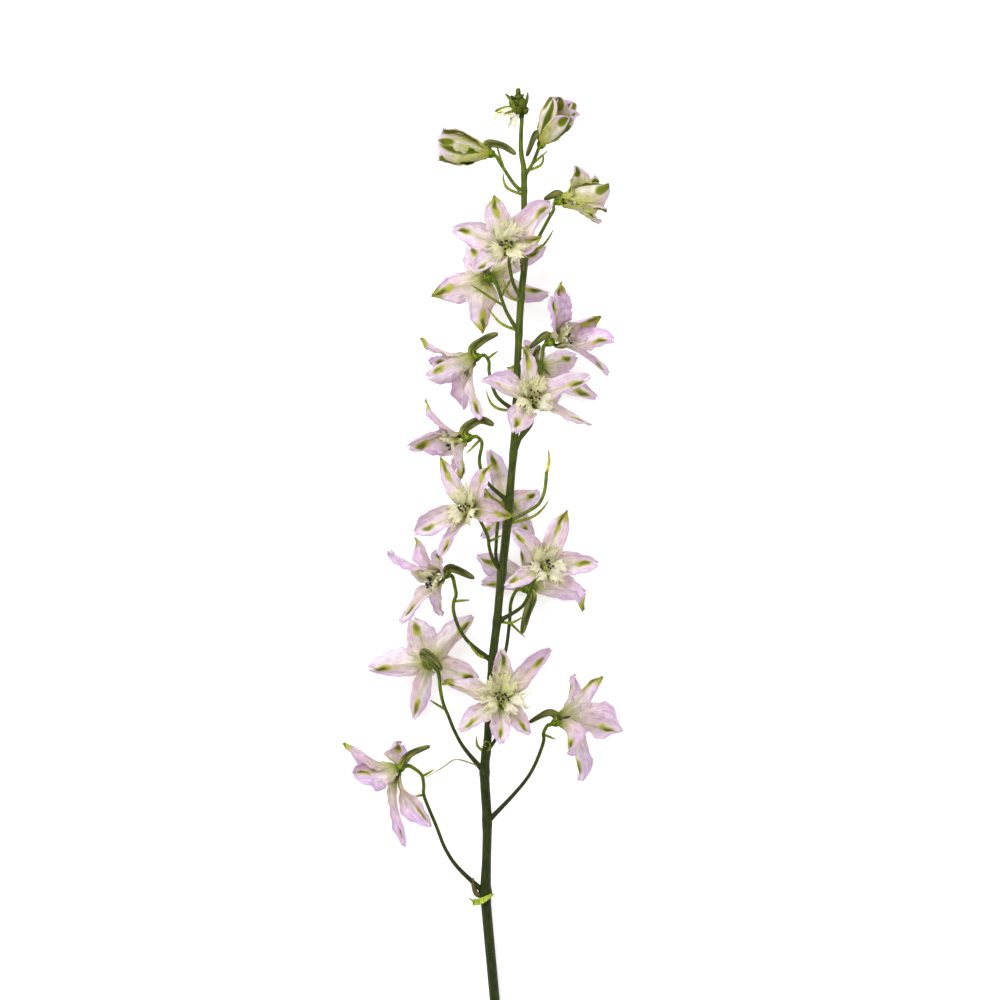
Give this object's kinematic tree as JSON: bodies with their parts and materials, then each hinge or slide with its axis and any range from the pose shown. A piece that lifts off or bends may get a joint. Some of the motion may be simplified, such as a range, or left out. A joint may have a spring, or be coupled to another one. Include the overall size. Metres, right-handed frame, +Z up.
{
  "type": "delphinium flower spike",
  "caption": "Cut delphinium flower spike lying on its side: tall green stem, lilac and white open blooms with green-tipped sepals and spurs, cream inner petals, and buds at the tip.",
  "frame": {"origin": "bottom centre of the bounding box", "axes": "+Y along the stem towards the tip, +X to the right of the spike seen from above, +Z up from the surface it lies on"},
  "size_m": [0.1105, 0.3846, 0.0522],
  "materials": {
    "stem_green": "satin green plant stem, faintly ridged, with fine hairs",
    "bud_green": "matte green buds and bracts",
    "sepal_lilac": "thin translucent lilac petal tissue with fine veins and green tips",
    "petal_cream": "thin cream petal tissue with fringed edges",
    "anther_dark": "dull blue-black anthers"
  },
  "bodies": {
    "root": {"stem": "stem_green", "tip_buds": "bud_green", "bloom_01_sepals": "sepal_lilac", "bloom_01_bee": "petal_cream", "bloom_02_sepals": "sepal_lilac", "bloom_02_bee": "petal_cream", "bloom_03_sepals": "sepal_lilac", "bloom_03_bee": "petal_cream", "bloom_04_sepals": "sepal_lilac", "bloom_04_bee": "petal_cream", "bloom_05_sepals": "sepal_lilac", "bloom_05_bee": "petal_cream", "bloom_06_sepals": "sepal_lilac", "bloom_06_bee": "petal_cream", "bloom_07_sepals": "sepal_lilac", "bloom_07_bee": "petal_cream", "bloom_08_sepals": "sepal_lilac", "bloom_08_bee": "petal_cream", "bloom_09_sepals": "sepal_lilac", "bloom_09_bee": "petal_cream", "bloom_10_sepals": "sepal_lilac", "bloom_10_bee": "petal_cream", "bloom_11_sepals": "sepal_lilac", "bloom_11_bee": "petal_cream", "bloom_12_sepals": "sepal_lilac", "bloom_12_bee": "petal_cream", "bloom_13_sepals": "sepal_lilac", "bloom_13_bee": "petal_cream", "bloom_14_sepals": "sepal_lilac", "bloom_14_bee": "petal_cream", "bloom_15_sepals": "sepal_lilac", "bloom_15_bee": "petal_cream", "bloom_16_sepals": "sepal_lilac", "bloom_16_bee": "petal_cream", "bloom_17_sepals": "sepal_lilac", "bloom_17_bee": "petal_cream", "bloom_18_sepals": "sepal_lilac", "bloom_18_bee": "petal_cream", "bloom_19_sepals": "sepal_lilac", "bloom_19_bee": "petal_cream"}
  },
  "joints": []
}
